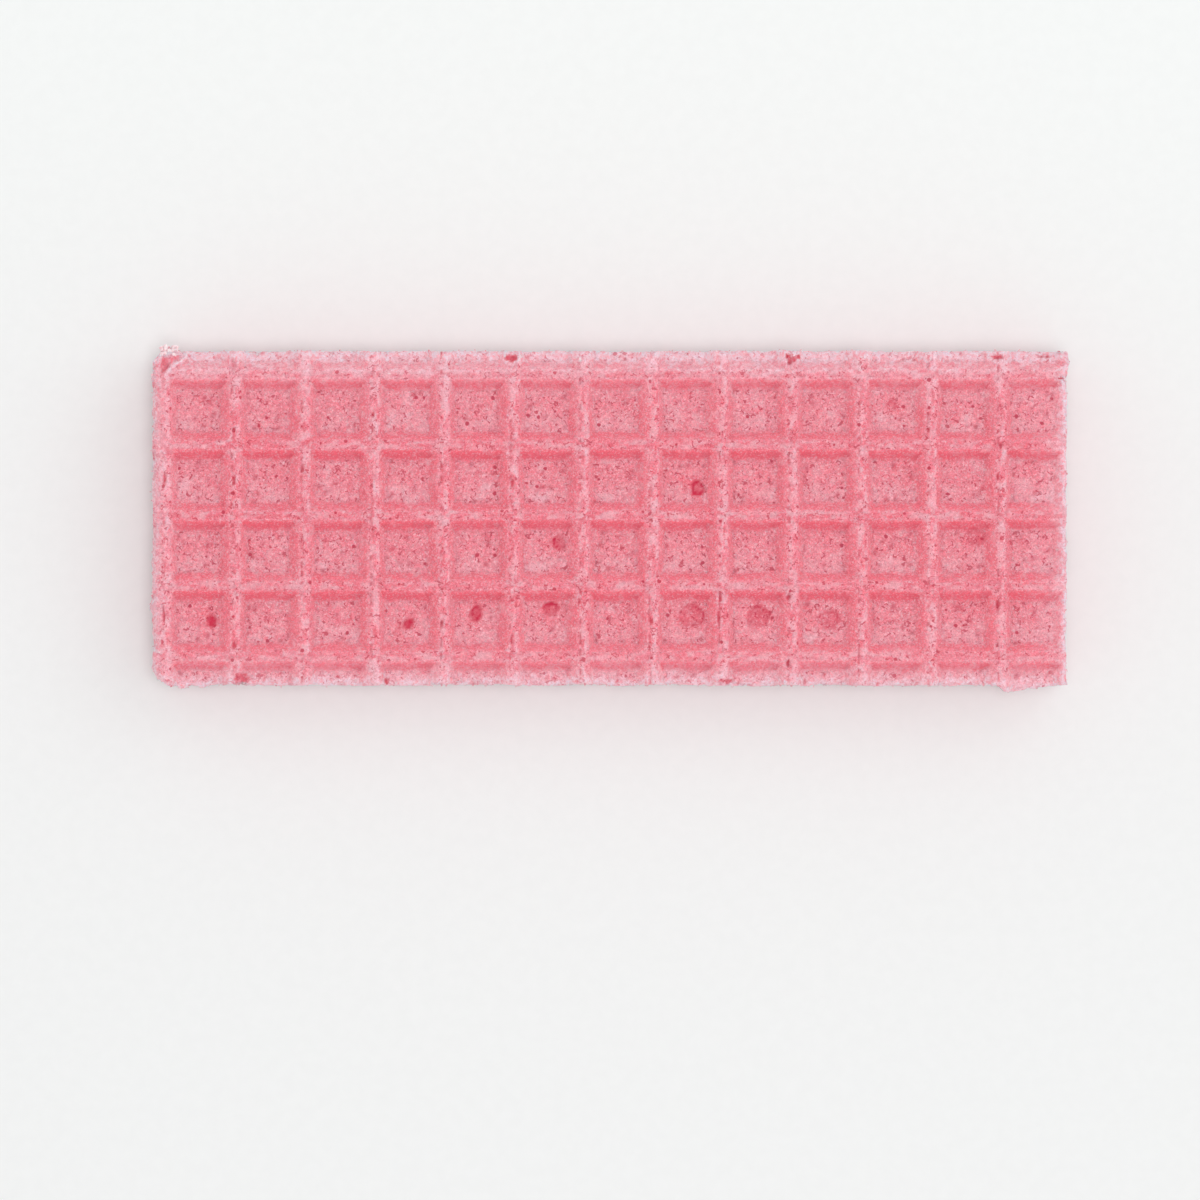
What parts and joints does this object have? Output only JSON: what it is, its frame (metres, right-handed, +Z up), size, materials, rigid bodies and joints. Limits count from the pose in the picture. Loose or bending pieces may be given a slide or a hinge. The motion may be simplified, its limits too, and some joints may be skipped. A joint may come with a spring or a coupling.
{
  "type": "sugar wafer",
  "caption": "Oblong pink wafer biscuit: crisp sheets with square waffle pockets on the outer faces, sandwiched with thin cream layers and cut straight at the edges.",
  "frame": {"origin": "middle of the box round the wafer, on the surface that it lies on", "axes": "+X along the wafer's length, +Y across it towards the edge with the chipped corner, +Z up out of the top sheet"},
  "size_m": [0.0704, 0.0266, 0.0092],
  "materials": {
    "baked_wafer": "dry, matt, finely porous pink baked wafer",
    "cream": "soft satin pale pink sugar cream"
  },
  "bodies": {
    "root": {"wafer_bottom": "baked_wafer", "cream_lower": "cream", "wafer_middle": "baked_wafer", "cream_upper": "cream", "wafer_top": "baked_wafer"}
  },
  "joints": []
}
